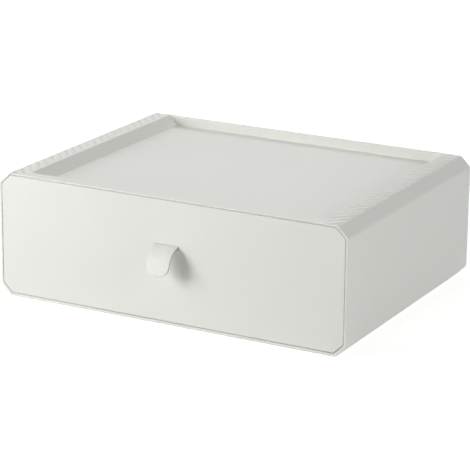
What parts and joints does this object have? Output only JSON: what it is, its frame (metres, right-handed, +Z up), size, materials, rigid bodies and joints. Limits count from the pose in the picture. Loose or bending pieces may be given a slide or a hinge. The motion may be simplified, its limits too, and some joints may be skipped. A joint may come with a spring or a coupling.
{
  "type": "stackable drawer box",
  "caption": "Low moulded drawer box with bevelled edges, a tray-shaped top with ribbed shoulders, and one full-width drawer opened by a soft hanging pull strap.",
  "frame": {"origin": "middle of the casing's underside, on the surface it rests on", "axes": "+X to the right seen from the drawer side, +Y from the drawer front to the closed back, +Z up"},
  "size_m": [0.32, 0.2609, 0.1065],
  "materials": {
    "casing_plastic": "off-white, fine moulded texture",
    "drawer_plastic": "off-white, fine moulded texture",
    "front_plastic": "off-white, fine moulded texture",
    "strap_leatherette": "smooth off-white imitation leather",
    "keeper_plastic": "plain grey moulding",
    "pad_rubber": "matt grey",
    "screw_steel": "zinc plated"
  },
  "bodies": {
    "casing": {"casing_shell": "casing_plastic", "foot_pad_front_left": "pad_rubber", "foot_pad_front_right": "pad_rubber", "foot_pad_rear_left": "pad_rubber", "foot_pad_rear_right": "pad_rubber"},
    "drawer": {"drawer_tray": "drawer_plastic", "drawer_front": "front_plastic", "front_screws": "screw_steel", "pull_strap": "strap_leatherette", "strap_keeper": "keeper_plastic", "strap_screws": "screw_steel"}
  },
  "joints": [
    {"name": "drawer_slide", "type": "slide", "parent": "casing", "child": "drawer", "axis": [0, -1, 0], "range_m": [0, 0.187]}
  ]
}
